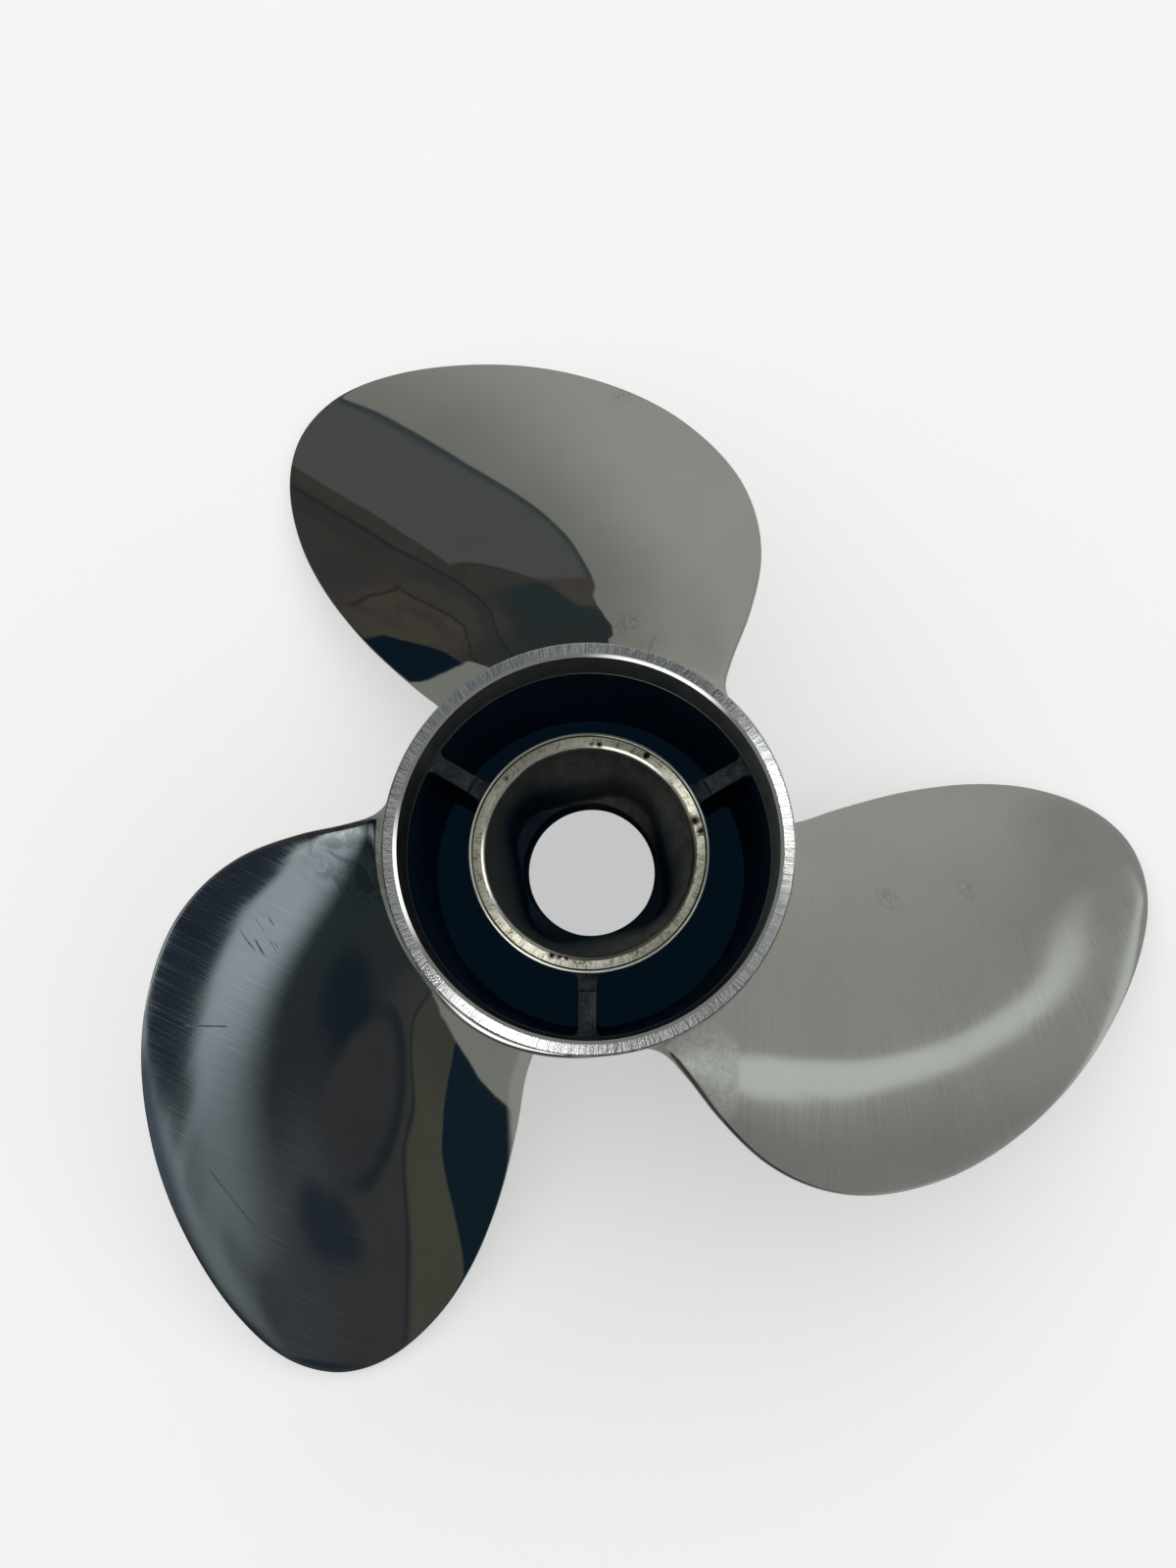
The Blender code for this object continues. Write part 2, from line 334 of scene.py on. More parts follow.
def barrel_steel():
    """Polished outside and chamfers; the counterbore and the passages are black with soot, and the
    counterbore wall has painted light on its upper side and a painted highlight along its bottom edge.
    """
    material, place = new_steel("polished_and_sooted_steel")
    x, y = place.parts()[:2]
    radius = from_axis(place)
    depth = below_rim(place)
    cloudy = place.noise(0.06, 3.0)
    soot = place.noise(0.25, 4.0, 0.65)
    turned = (depth * 3.0).joined(0.0, 0.0).noise(1.0, 3.0, 0.7)
    # The middle of the wall, which opens with the lip, parts the bore from the outside.
    reach = 52.3 + 4.6 * ((depth - FLARE_START).highest(0.0) / 23.0) ** 2
    inside = (radius - reach).fall(-0.3, 0.0)
    wall = inside * depth.rise(0.5, 0.6)
    passage = inside * depth.rise(COUNTERBORE_DEPTH - 0.1, COUNTERBORE_DEPTH)
    colour = cloudy.rise(0.3, 0.7).blend((0.60, 0.605, 0.59), (0.64, 0.64, 0.62))
    # Painted light: the counterbore wall's soot is lighter towards the top, where the light falls, and
    # darker towards the bottom.
    lit_counterbore_side = (0.5 * x + y).rise(-30.0, 40.0)
    thick_soot_and_painted_light = lit_counterbore_side.blend((0.018, 0.021, 0.020), (0.10, 0.125, 0.12))
    thin_soot_and_painted_light = lit_counterbore_side.blend((0.036, 0.038, 0.033), (0.20, 0.22, 0.19))
    # A dark line along the step just outside the rim's edge, on the lower-left side only, broken up by the
    # soot's noise.
    dark_line_outside_rim = (radius - RIM_R - 0.12).line(0.16) * (0.35 * x + y).fall(-6.0, 6.0) * soot.rise(0.36, 0.46)
    colour = dark_line_outside_rim.blend(colour, (0.05, 0.05, 0.048))
    streaked_soot_and_painted_light = (0.6 * soot + 0.4 * turned).rise(0.35, 0.65).blend(thick_soot_and_painted_light, thin_soot_and_painted_light)
    colour = wall.blend(colour, streaked_soot_and_painted_light)
    navy = depth.rise(22.0, 95.0).blend((0.006, 0.018, 0.040), (0.060, 0.17, 0.34))
    colour = passage.blend(colour, navy)
    # Painted highlight: a thin light line along the counterbore's bottom edge, on its upper side only.
    edge = inside * depth.within(COUNTERBORE_DEPTH - 0.35, COUNTERBORE_DEPTH, 0.08) * lit_counterbore_side
    colour = edge.blend(colour, (0.14, 0.15, 0.14))
    roughness = 0.07 + 0.05 * cloudy + 0.25 * wall + 0.25 * passage
    black = ((0.7 + 0.22 * y.fall(-14.0, 6.0)) * wall).highest(passage) * (1 - 0.7 * edge)
    return finish(material, colour, roughness, turned, 0.01, black)


rim_outside = list(RIM_SECTION)
rim_outside += [(swollen(RIM_R + out, share), depth) for out, share, depth in SHOULDER]
rim_outside += [(swollen(BARREL_R, share), depth) for share, depth in SWELL_END]
rim_outside += [(BARREL_R, depth) for depth in (36.0, 52.0, 68.0, 84.0, 100.0)]
rim_outside += flare(BARREL_R, LIP_R, BARREL_LENGTH - LIP_ROUND)
rim_outside += arc((LIP_R - LIP_ROUND, BARREL_LENGTH - LIP_ROUND), LIP_ROUND, 0.0, -90.0, 5)[1:]
bore_inside = [(LIP_BORE_R + 0.5, BARREL_LENGTH), (LIP_BORE_R + 0.15, BARREL_LENGTH - 0.15)]
bore_inside += reversed(flare(PASSAGE_R, LIP_BORE_R, BARREL_LENGTH - 0.5))
bore_inside += [(PASSAGE_R, depth) for depth in (90.0, 60.0, 40.0)]
bore_inside += [(PASSAGE_R, COUNTERBORE_DEPTH + 0.3), (PASSAGE_R + 0.12, COUNTERBORE_DEPTH)]
bore_inside += [(COUNTERBORE_R + 0.05, COUNTERBORE_DEPTH - up) for up in (0.15, 0.6)]
bore_inside += [(COUNTERBORE_R, depth) for depth in (10.0, CHAMFER_DEPTH + 0.15, CHAMFER_DEPTH)]
bore_inside += [((RIM_INSIDE_R + COUNTERBORE_R) / 2, CHAMFER_DEPTH * 0.45)]
hub_barrel = tube("hub_barrel", rim_outside + bore_inside)
hub_barrel.data.materials.append(barrel_steel())
faced(hub_barrel, rim_steel(), 0.0, RIM_INSIDE_R, RIM_R)
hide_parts("barrel")
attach(hub_barrel, "root")

# Inner hub: the thick tube of the same casting that carries the drive. Its front ring is faced
# flat for the thrust washer, and the cast socket behind it goes from round to a rounded square
# for the drive sleeve, down to a ledge round the shaft hole. Wear and rust mark the ring.

INNER_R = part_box("inner_hub")[1].x / MM
INNER_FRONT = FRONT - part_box("inner_hub")[1].z / MM
INNER_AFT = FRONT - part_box("inner_hub")[0].z / MM
MOUTH_R = 28.35
MOUTH_BEVEL = 1.15
SOCKET_FLAT = 22.0
SOCKET_CORNER_R = 12.6
SOCKET_TURN = math.radians(12.5)
FUNNEL_START = INNER_FRONT + 1.1
FUNNEL_END = 55.0
SOCKET_FLOOR = 99.0
SHAFT_HOLE_R = 20.9
GROOVE_R = 32.0
LEDGE_BEVEL = 0.8
FUNNEL_STEPS = 16

# The front ring's section, from its mouth out over the groove. Each row: radius, and depth
# below the ring's face.
RING_SECTION = (
    (MOUTH_R + MOUTH_BEVEL, 0.0),
    (30.4, 0.0),
    (GROOVE_R - 0.3, 0.0),
    (GROOVE_R - 0.2, 0.08),
    (GROOVE_R - 0.12, 0.45),
    (GROOVE_R + 0.1, 0.45),
    (GROOVE_R + 0.2, 0.1),
    (GROOVE_R + 0.3, 0.04),
    (INNER_R - 0.3, 0.04),
    (INNER_R - 0.08, 0.18),
    (INNER_R, 0.5),
)

# The rounded bevel of the mouth. Each row: how far out from the mouth, and depth below the face.
MOUTH_SECTION = ((0.02, 0.85), (0.12, 0.62), (0.32, 0.42), (0.7, 0.2))

# Each rust spot of the ring: its place, then the size of the pit and of the stain round it.
RUST_SPOTS = (
    (2.6, 29.6, 0.45, 1.0),
    (0.4, 29.7, 0.1, 1.3),
    (15.6, 26.8, 0.8, 0.8),
    (28.9, 9.0, 0.65, 1.7),
    (30.6, 6.2, 0.6, 1.5),
    (-9.8, -28.2, 0.5, 0.9),
    (-7.7, -28.5, 0.45, 0.8),
    (-5.8, -28.9, 0.35, 0.7),
    (-22.8, 19.9, 0.15, 1.0),
)


def square_reach(turn):
    """Distance from the axis to the rounded square of the socket."""
    from_flat = (turn - SOCKET_TURN + math.pi / 4) % (math.pi / 2) - math.pi / 4
    along = abs(from_flat)
    centre = SOCKET_FLAT - SOCKET_CORNER_R
    if SOCKET_FLAT * math.tan(along) <= centre:
        return SOCKET_FLAT / math.cos(along)
    reach = centre * (math.cos(along) + math.sin(along))
    return reach + math.sqrt(reach**2 - 2 * centre**2 + SOCKET_CORNER_R**2)


def funnel_reach(share):
    """The socket part of the way down its funnel: share 0 is round and 1 is the square."""
    smooth = share * share * (3 - 2 * share)
    return lambda turn: MOUTH_R + (square_reach(turn) - MOUTH_R) * smooth


def rusted(place, colour, edge=1.0):
    """The ring's rust: a brown stain round each spot, and a near-black pit in it."""
    x, y = place.parts()[:2]
    flat = x.joined(y, 0.0)
    ragged = flat.node("ShaderNodeTexNoise", {}, {"Vector": flat, "Scale": 1.3, "Detail": 3.0}, "Color")
    ragged = ragged.vector("MULTIPLY", (1.6, 1.6, 0.0)).vector("SUBTRACT", (0.8, 0.8, 0.0))
    moved = flat.vector("ADD", ragged)
    stain, pit = 0.0, 0.0
    for across, up, hole, halo in RUST_SPOTS:
        away = moved.vector("DISTANCE", (across, up, 0.0), out=1)
        stain = stain + away.fall(hole, hole + halo * 0.8)
        pit = pit + away.fall(hole * 0.8, hole * 1.4)
    stain = stain.lowest(1.0)
    colour = (stain * 0.85 * edge).blend(colour, (0.13, 0.08, 0.045))
    return (pit.lowest(1.0) * edge).blend(colour, (0.022, 0.016, 0.012)), stain


def ring_steel():
    """The faced ring: worn and slightly yellow, bitten by the thrust washer near its mouth."""
    material, place = new_steel("worn_ring_steel", anisotropic=1.0)
    x, y = place.parts()[:2]
    radius = from_axis(place)
    hatch = hatched(place, 1.8)
    patches = place.noise(0.35, 4.0, 0.7)
    fine = place.noise(1.6, 3.0, 0.7)
    rings = (radius * 4.5).joined(patches * 2.0, 0.0).noise(1.0, 3.0, 0.7)
    worn = (radius + 0.9 * patches).fall(30.5, 31.1)
    # Painted highlight: the steel is given a brighter colour at the bottom of the ring.
    bright = y.rise(-29.5, -27.0).blend((0.88, 0.86, 0.75), (0.70, 0.68, 0.56))
    land = (0.5 * hatch + 0.5 * rings).rise(0.41, 0.52).blend((0.12, 0.11, 0.08), bright)
    bites = (0.35 * patches + 0.3 * fine + 0.35 * rings).rise(0.43, 0.50)
    colour = (worn * 0.9).blend(land, bites.blend((0.035, 0.032, 0.024), bright))
    # Painted light and shade: the outer land past the groove is bright on the lower left and dark on the
    # upper right.
    outer = radius.rise(GROOVE_R + 0.1, GROOVE_R + 0.25)
    outer_land = (x + y).rise(8.0, 34.0).blend((0.74, 0.735, 0.65), (0.26, 0.27, 0.26))
    colour = outer.blend(colour, outer_land)
    colour, stain = rusted(place, colour)
    roughness = 0.29 + 0.1 * patches + 0.25 * stain
    return finish(material, colour, roughness, hatch + 0.6 * worn * fine, 0.010)


def socket_steel():
    """As cast: olive black in the funnel and navy black outside; painted shade makes the funnel navy black
    further down and darker on its lower left, and painted light lightens its top.
    """
    material, place = new_steel("sooted_cast_steel")
    x, y = place.parts()[:2]
    radius = from_axis(place)
    depth = below_rim(place)
    grain = place.noise(0.55, 4.0, 0.7)
    drips = place.vector("MULTIPLY", (0.22, 0.22, 0.03)).noise(1.0, 4.0, 0.65)
    # The funnel's soot is blotched; painted shade darkens its lower left and, deeper down, turns it navy
    # black, and painted light brightens the top wall.
    blotches = (0.5 * grain + 0.5 * drips).rise(0.35, 0.62)
    funnel = blotches.blend((0.070, 0.082, 0.076), (0.17, 0.175, 0.145))
    shaded_side = (0.8 * x + 0.6 * y).fall(-26.0, 8.0)
    funnel = shaded_side.blend(funnel, (0.060, 0.075, 0.070))
    above = y.rise(0.0, 18.0) * x.rise(-18.0, 0.0)
    lit_side = blotches.blend((0.16, 0.18, 0.17), (0.30, 0.30, 0.25))
    funnel = (above * depth.rise(26.0, 48.0)).blend(funnel, lit_side)
    colour = (depth.rise(30.0, 62.0) * (1 - 0.75 * above)).blend(funnel, (0.014, 0.038, 0.066))
    # The mouth's bevel and the groove in the ring's face.
    lip = radius.rise(28.3, 28.45) * depth.fall(INNER_FRONT + 1.2, INNER_FRONT + 1.5)
    lip_steel_with_painted_shade = grain.rise(0.3, 0.7).blend((0.58, 0.57, 0.51), (0.72, 0.71, 0.65))
    # Painted shade: the bevel's steel is darker on its lower right.
    lip_steel_with_painted_shade = (x - y).rise(10.0, 32.0).blend(lip_steel_with_painted_shade, (0.16, 0.155, 0.13))
    colour = lip.blend(colour, lip_steel_with_painted_shade)
    # Painted shade: the groove in the ring's face is coloured dark.
    groove = radius.within(GROOVE_R - 0.25, GROOVE_R + 0.2, 0.05)
    groove = groove * depth.rise(INNER_FRONT + 0.03, INNER_FRONT + 0.1)
    colour = groove.blend(colour, (0.05, 0.046, 0.034))
    colour = rusted(place, colour, lip)[0]
    # The ring's bright outer corner, and the black wall behind it.
    rim = radius.rise(GROOVE_R + 0.2, GROOVE_R + 0.25) * depth.fall(INNER_FRONT + 0.4, INNER_FRONT + 0.8)
    colour = rim.blend(colour, (0.50, 0.50, 0.46))
    outside = radius.rise(INNER_R - 0.1, INNER_R - 0.02) * depth.rise(INNER_FRONT + 0.4, INNER_FRONT + 0.9)
    colour = outside.blend(colour, (0.004, 0.009, 0.014))
    roughness = 0.40 + 0.15 * grain - 0.30 * lip
    black = (1 - lip) * (1 - rim)
    relief = (grain + 0.5 * drips) * (0.1 + 0.9 * black)
    return finish(material, colour, roughness, relief, 0.05, black * 0.85)


wall_outside = [(radius, INNER_FRONT + depth) for radius, depth in RING_SECTION]
wall_outside += [(INNER_R, depth) for depth in (40.0, 60.0, 80.0, 100.0)]
wall_outside += arc((INNER_R - 1.5, INNER_AFT - 1.5), 1.5, 0.0, -90.0, 6)
wall_outside += arc((SHAFT_HOLE_R + 1.0, INNER_AFT - 1.0), 1.0, -90.0, -180.0, 5)
socket_inside = [(SHAFT_HOLE_R, SOCKET_FLOOR + 0.3), (SHAFT_HOLE_R + 0.3, SOCKET_FLOOR)]
socket_inside += [(lambda turn: max(square_reach(turn) - LEDGE_BEVEL, SHAFT_HOLE_R + 0.3), SOCKET_FLOOR)]
socket_inside += [(square_reach, SOCKET_FLOOR - LEDGE_BEVEL), (square_reach, 84.0), (square_reach, 70.0)]
for step in range(FUNNEL_STEPS):
    share = step / FUNNEL_STEPS
    socket_inside += [(funnel_reach(1 - share), FUNNEL_END + (FUNNEL_START - FUNNEL_END) * share)]
socket_inside += [(MOUTH_R + out, INNER_FRONT + depth) for out, depth in MOUTH_SECTION]
drive_hub = tube("drive_hub", wall_outside + socket_inside)
drive_hub.data.materials.append(socket_steel())
faced(drive_hub, ring_steel(), INNER_FRONT, MOUTH_R, INNER_R)
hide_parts("inner_hub")
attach(drive_hub, "root")

# Ribs: three cast webs that join the two hubs and leave the exhaust passages between them. They
# are as cast, with round fillets into both hubs, and only their front edge met the lathe tool.

RIB_THICK = 5.0
RIB_ROOT = 8.4
RIB_FRONT = COUNTERBORE_DEPTH + 0.05
RIB_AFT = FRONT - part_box("rib_1")[0].z / MM
FRONT_ROUND = 0.9
RIB_COUNT = 3
RIB_START = 30.0
FILLET_R = 3.0
STEP_R = 37.6
STEP_DEPTH = 1.2
STEP_SLOPE = 0.4
RIB_STEPS = 36


def rib_half(radius):
    """Half the rib's thickness, which flares into both hubs."""
    near = min(max(min(radius - INNER_R, PASSAGE_R - radius), 0.0), FILLET_R)
    extra = FILLET_R - math.sqrt(FILLET_R**2 - (FILLET_R - near) ** 2)
    return RIB_THICK / 2 + extra * (RIB_ROOT - RIB_THICK) / 2 / FILLET_R


def rib_outline(trim):
    """One section of the rib along +X: its ends stand on the two hubs."""
    side = []
    for step in range(RIB_STEPS + 1):
        radius = INNER_R + (PASSAGE_R - INNER_R) * (1 - math.cos(math.pi * step / RIB_STEPS)) / 2
        half = rib_half(radius) - trim
        side.append((math.sqrt(radius**2 - half**2), half))
    return side + [(x, -y) for x, y in reversed(side)]


def rib_web():
    """The rib as a stack of outlines, with a rounded front edge and a step where the tool ran out."""
    turns = [math.radians(15.0 * step) for step in range(7)]
    levels = [(RIB_FRONT + FRONT_ROUND * (1 - math.cos(t)), FRONT_ROUND * (1 - math.sin(t))) for t in turns]
    levels += [(RIB_AFT - 0.8, 0.0), (RIB_AFT - 0.2, 0.2), (RIB_AFT, 0.8)]
    verts, faces = [], []
    for depth, trim in levels:
        for x, y in rib_outline(trim):
            past_step = STEP_R + STEP_SLOPE - math.hypot(x, y)
            step = STEP_DEPTH * min(max(past_step, 0.0) / STEP_SLOPE, 1.0)
            verts.append((x * MM, y * MM, (FRONT - max(depth, RIB_FRONT + step)) * MM))
    size = len(verts) // len(levels)
    for level in range(len(levels) - 1):
        for i in range(size):
            j = (i + 1) % size
            low, high = level * size, (level + 1) * size
            faces.append((low + i, low + j, high + j, high + i))
    for first in (0, len(verts) - size):
        last = first + size - 1
        faces += [(first + i, first + i + 1, last - 1 - i, last - i) for i in range(size // 2 - 1)]
    return shaded(piece_of("hub_ribs", verts, faces))


def cast_steel():
    """Dull cast steel, dark from the exhaust, with the soot worn off its front edges."""
    material, place = new_steel("dark_cast_steel")
    x, y = place.parts()[:2]
    radius = from_axis(place)
    depth = below_rim(place)
    grain = place.noise(0.9, 4.0, 0.65)
    patches = place.noise(0.2, 3.0, 0.6)
    front = depth.fall(COUNTERBORE_DEPTH + 0.7, COUNTERBORE_DEPTH + 2.5)
    worn = (0.5 * grain + 0.5 * patches).rise(0.38, 0.62)
    colour = worn.blend((0.022, 0.028, 0.033), (0.070, 0.080, 0.088))
    turn = y.maths("ARCTAN2", y, x) - math.radians(RIB_START)
    turn = turn.maths("WRAP", turn, math.pi / RIB_COUNT, -math.pi / RIB_COUNT)
    across = abs(radius * turn.maths("SINE", turn))
    edge = across.rise(1.75, 2.2) * radius.within(STEP_R, 47.5, 0.6)
    colour = (edge * 0.6).blend(colour, (0.17, 0.18, 0.185))
    colour = front.blend((0.004, 0.010, 0.018), colour)
    return finish(material, colour, 0.42 + 0.2 * grain, grain, 0.1, 1 - 0.5 * front)


def repeated_tree(material):
    """A node tree that sets copies of a piece evenly round the shaft."""
    tree = bpy.data.node_groups.new("copies round the shaft", "GeometryNodeTree")
    for name, kind, way in (("Piece", "Geometry", "INPUT"), ("Count", "Int", "INPUT"),
                            ("First angle", "Float", "INPUT"), ("Pieces", "Geometry", "OUTPUT")):
        tree.interface.new_socket(name, in_out=way, socket_type=f"NodeSocket{kind}")
    ends = Wire(tree, None)
    piece, number, first = [ends.node("NodeGroupInput", {}, {}, out) for out in range(3)]
    points = ends.node("GeometryNodePoints", {}, {"Count": number})
    step = ends.node("GeometryNodeInputIndex", {}, {}) * (2 * math.pi) / number + first
    turn = ends.node("ShaderNodeCombineXYZ", {}, {2: step})
    copies = points.node("GeometryNodeInstanceOnPoints", {},
                         {"Points": points, "Instance": piece, "Rotation": turn})
    solid = copies.node("GeometryNodeRealizeInstances", {}, {0: copies})
    coated = solid.node("GeometryNodeSetMaterial", {}, {"Geometry": solid, "Material": material})
    out = tree.nodes.new("NodeGroupOutput")
    tree.links.new(coated.socket, out.inputs[0])
    return tree


def grown(obj, tree, sizes):
    """Runs a node tree on a piece with its named sizes, and keeps the plain mesh that it gives."""
    modifier = obj.modifiers.new(tree.name, "NODES")
    modifier.node_group = tree
    for item in tree.interface.items_tree:
        if item.in_out == "INPUT" and item.name in sizes:
            modifier[item.identifier] = sizes[item.name]
    graph = bpy.context.evaluated_depsgraph_get()
    mesh = bpy.data.meshes.new_from_object(obj.evaluated_get(graph), depsgraph=graph)
    obj.modifiers.remove(modifier)
    obj.data = mesh
    mesh.name = obj.name
    return obj


sizes = {"Count": RIB_COUNT, "First angle": math.radians(RIB_START)}
hub_ribs = grown(rib_web(), repeated_tree(cast_steel()), sizes)
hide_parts("rib_1", "rib_2", "rib_3")
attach(hub_ribs, "root")

# Blades: three equal left-hand blades of the casting, ground to a template and polished. A blade
# is a flat pattern of radius, angle and thickness, which a node tree wraps on the helicoid. Each
# has had its own polishing: one is a clear mirror, and two show the strokes of the belt.

BLADE_LINES = (-30.0, 90.0, 210.0)
TIP_R = 185.3
RAKE_START_R = 54.0
PITCH = 366.0
MID_DEPTH = 48.0
RAKE = math.radians(25.9)
RAKE_EASE = 0.00056
EDGE_THICK = 1.3
ROOT_EDGE_THICK = 2.2
SIDE_FILLET = 4.0
LEADING_FILLET = 6.5
TRAILING_FILLET = 3.0
FOOT_R = 54.5
ROOT_REACH = 40.0
CROWN_EASE = 0.1
CROWN_POWER = 0.8

# Each row: radius, angles of the leading and trailing edge from the blade's line, thickness.
BLADE_SHAPE = (
    (RAKE_START_R, -39.5, 43.5, 9.5),
    (66.0, -35.9, 43.1, 8.6),
    (80.0, -33.3, 44.3, 7.6),
    (100.0, -29.1, 45.0, 6.3),
    (120.0, -22.3, 44.5, 5.2),
    (140.0, -11.7, 43.0, 4.2),
    (160.0, 2.4, 40.2, 3.2),
    (175.0, 15.2, 36.7, 2.4),
    (182.0, 22.2, 33.6, 1.9),
    (TIP_R, 28.6, 28.6, 1.4),
)
FILLET_STEPS = 24
RADIUS_STEPS = 120
CHORD_STEPS = 110


def shape_at(radius, column):
    """A smooth curve through one column of the blade's shape, rounded off at the tip."""
    rows = BLADE_SHAPE[::-1]
    reach = [math.sqrt(TIP_R - row[0]) for row in rows]
    value = [row[column] for row in rows]
    slope = np.diff(value) / np.diff(reach)
    gaps = np.diff(reach)
    inner = (slope[:-1] * gaps[1:] + slope[1:] * gaps[:-1]) / (gaps[1:] + gaps[:-1])
    bend = np.concatenate([slope[:1], inner, slope[-1:]])
    here = math.sqrt(TIP_R - max(radius, BLADE_SHAPE[0][0]))
    k = min(int(np.searchsorted(reach, here, side="right")) - 1, len(gaps) - 1)
    t = (here - reach[k]) / gaps[k]
    level = value[k] + (value[k + 1] - value[k]) * t * t * (3 - 2 * t)
    return level + gaps[k] * t * (1 - t) * (bend[k] * (1 - t) - bend[k + 1] * t)


def fillet(radius, size):
    """How far a fillet of this radius, at the foot of a blade, stands out from it."""
    rise = max(radius - BARREL_R, 0.0)
    return size - math.sqrt(size**2 - max(size - rise, 0.0) ** 2)


def crown(share):
    """The hump of a blade's section: 0 at both edges and 1 in the middle."""
    low, high = CROWN_EASE**CROWN_POWER, (1 + CROWN_EASE) ** CROWN_POWER
    return ((4 * share * (1 - share) + CROWN_EASE) ** CROWN_POWER - low) / (high - low)


def blade_pattern(name):
    """The flat pattern: x is the radius, y the angle in radians and z the distance off the helicoid."""
    radii = [FOOT_R + 0.1 + SIDE_FILLET * (step / FILLET_STEPS) ** 1.6 for step in range(FILLET_STEPS + 1)]
    reach = math.sqrt(TIP_R - radii[-1])
    radii += [TIP_R - (reach * (1 - step / RADIUS_STEPS)) ** 2 for step in range(1, RADIUS_STEPS)]
    radii += [TIP_R - 0.004]
    verts, faces = [], []
    for radius in radii:
        inboard = max(0.0, 1.0 - (radius - BARREL_R) / ROOT_REACH)
        edge_half = (EDGE_THICK + (ROOT_EDGE_THICK - EDGE_THICK) * inboard**2) / 2
        degrees_along = math.degrees(math.cos(math.atan2(PITCH, 2 * math.pi * radius)) / radius)
        lead = shape_at(radius, 1) - fillet(radius, LEADING_FILLET) * degrees_along
        trail = shape_at(radius, 2) + fillet(radius, TRAILING_FILLET) * degrees_along
        chord = (trail - lead) / degrees_along
        thick = shape_at(radius, 3)
        front, back = [], []
        for step in range(CHORD_STEPS + 1):
            share = (1 - math.cos(math.pi * step / CHORD_STEPS)) / 2
            angle = math.radians(lead + (trail - lead) * share)
            inset = min(share, 1 - share) * max(chord, 0.01)
            edge = edge_half * math.sqrt(max(1 - max(1 - inset / edge_half, 0.0) ** 2, 0.0))
            spread = fillet(radius, SIDE_FILLET) * (0.1 + 0.9 * crown(share))
            hump = (thick - 2 * edge_half) * crown(share)
            front.append((radius * MM, angle, (edge + hump + spread) * MM))
            back.append((radius * MM, angle, -(edge + spread) * MM))
        verts += front + back[-2:0:-1]
    size = 2 * CHORD_STEPS
    for k in range(len(radii) - 1):
        for i in range(size):
            j = (i + 1) % size
            faces.append((k * size + i, k * size + j, (k + 1) * size + j, (k + 1) * size + i))
    for first in (0, len(verts) - size):
        faces += [(first + i, first + i + 1, first + (size - i - 1) % size, first + (size - i) % size)
                  for i in range(1, CHORD_STEPS - 1)]
        faces += [(first, first + 1, first + size - 1),
                  (first + CHORD_STEPS - 1, first + CHORD_STEPS, first + CHORD_STEPS + 1)]
    return piece_of(name, verts, faces)


def helicoid_tree():
    """A node tree that wraps a flat blade pattern on a raked helicoid of constant pitch."""
    tree = bpy.data.node_groups.new("blade on its helicoid", "GeometryNodeTree")
    tree.interface.new_socket("Pattern", in_out="INPUT", socket_type="NodeSocketGeometry")
    names = ("Pitch", "Rake", "Rake ease", "Rake start", "Middle height", "Blade line")
    for name in names:
        tree.interface.new_socket(name, in_out="INPUT", socket_type="NodeSocketFloat")
    tree.interface.new_socket("Finish", in_out="INPUT", socket_type="NodeSocketMaterial")
    tree.interface.new_socket("Blade", in_out="OUTPUT", socket_type="NodeSocketGeometry")
    ends = Wire(tree, None)
    pattern = ends.node("NodeGroupInput", {}, {}, "Pattern")
    pitch, rake, ease, start, middle, line = [ends.node("NodeGroupInput", {}, {}, name) for name in names]
    coat = ends.node("NodeGroupInput", {}, {}, "Finish")
    radius, angle, offset = ends.node("GeometryNodeInputPosition", {}, {}).parts()
    out = radius - start
    advance = pitch / (radius * (2 * math.pi))
    length = (advance * advance + 1) ** 0.5
    turn = line + angle + offset * advance / length / radius
    drop = pitch * angle / (2 * math.pi) + out * rake.maths("TANGENT", rake) - ease * out * out
    x = radius * turn.maths("COSINE", turn)
    y = radius * turn.maths("SINE", turn)
    wrapped = x.joined(y, middle - drop + offset / length)
    bent = ends.node("GeometryNodeSetPosition", {}, {"Geometry": pattern, "Position": wrapped})
    solid = ends.node("GeometryNodeRealizeInstances", {}, {0: bent})
    coated = ends.node("GeometryNodeSetMaterial", {}, {"Geometry": solid, "Material": coat})
    end = tree.nodes.new("NodeGroupOutput")
    tree.links.new(coated.socket, end.inputs[0])
    return tree


def strokes(across, along, fineness=2.2):
    """Fine strokes of a polishing belt: narrow across, long along, in and out of sight."""
    return (across * fineness).joined(along * 0.035, 0.0).noise(1.0, 3.0, 0.65)


def smudged(place, *marks):
    """Finger marks: small streaky clouds, each given by its place and then its size."""
    cloud = 0.0
    for *centre, size in marks:
        cloud = cloud + place.spot(centre, size * 0.3, size)
    streaks = place.vector("MULTIPLY", (0.9, 0.35, 0.5)).noise(1.0, 3.0, 0.7)
    return cloud.lowest(1.0) * streaks.rise(0.42, 0.62)


